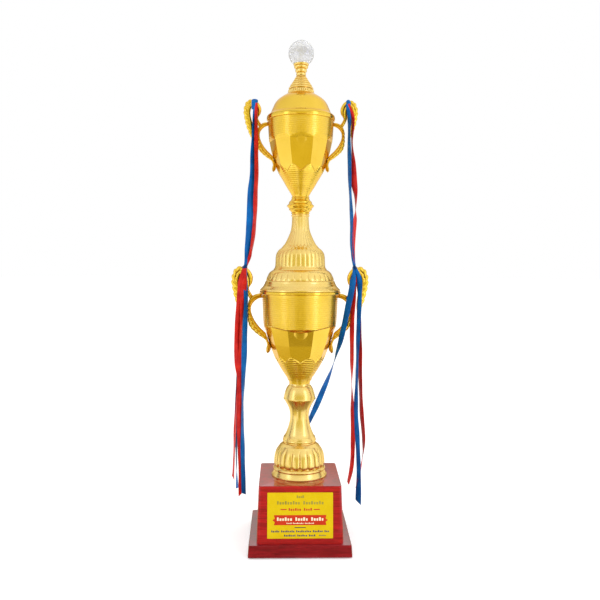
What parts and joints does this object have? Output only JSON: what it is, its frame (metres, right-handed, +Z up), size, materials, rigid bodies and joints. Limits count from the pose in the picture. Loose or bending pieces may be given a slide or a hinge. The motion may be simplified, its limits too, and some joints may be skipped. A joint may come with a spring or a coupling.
{
  "type": "cup trophy",
  "caption": "Tall two-tier gold cup trophy with faceted bowls, scroll handles, satin ribbons, a lift-off lid with a crystal ball, and a stepped square wooden base.",
  "frame": {"origin": "centre of the underside of the base's felt pad", "axes": "+Z up along the trophy's axis, -Y to the front with the label plate, +X to the right"},
  "size_m": [0.2533, 0.1826, 0.9155],
  "materials": {
    "gold": "vacuum-metallised bright gold over moulded plastic",
    "rosewood": "high-gloss red rosewood laminate",
    "felt": "dark felt",
    "label": "printed yellow film on thin board",
    "steel": "zinc plated",
    "crystal": "clear faceted",
    "ribbon_blue": "satin",
    "ribbon_red": "satin"
  },
  "bodies": {
    "trophy": {"foot": "gold", "stem": "gold", "stem_knob": "gold", "lower_bowl": "gold", "lower_rim": "gold", "lower_dome": "gold", "riser_drum": "gold", "riser_neck": "gold", "upper_knob": "gold", "upper_bowl_cone": "gold", "upper_bowl": "gold", "upper_bowl_band": "gold", "upper_rim": "gold", "lower_handle_left": "gold", "lower_handle_right": "gold", "upper_handle_left": "gold", "upper_handle_right": "gold", "base_plinth": "rosewood", "base_block": "rosewood", "felt_pad": "felt", "label_plate": "label", "tie_rod": "steel", "base_washer": "steel", "base_nut": "steel", "cup_washer": "steel", "cup_nut": "steel", "lower_handle_screws": "steel", "upper_handle_screws": "steel", "left_upper_wrap": "ribbon_blue", "right_upper_wrap": "ribbon_blue", "left_knot": "ribbon_blue", "right_knot": "ribbon_blue", "left_ribbon_blue": "ribbon_blue", "right_ribbon_blue": "ribbon_blue", "left_tail_blue_outer": "ribbon_blue", "left_tail_blue_inner": "ribbon_blue", "right_tail_blue_outer": "ribbon_blue", "right_tail_blue_tucked": "ribbon_blue", "left_ribbon_red": "ribbon_red", "right_ribbon_red": "ribbon_red", "left_tail_red_outer": "ribbon_red", "left_tail_red_inner": "ribbon_red", "right_tail_red_inner": "ribbon_red", "right_tail_red_outer": "ribbon_red"},
    "lid": {"lid_dome": "gold", "lid_spire": "gold", "finial_cap": "gold", "crystal_ball": "crystal", "lid_stud": "steel", "lid_nut": "steel"}
  },
  "joints": [
    {"name": "lid_lift", "type": "slide", "parent": "trophy", "child": "lid", "axis": [0, 0, 1], "range_m": [0, 0.1]}
  ]
}
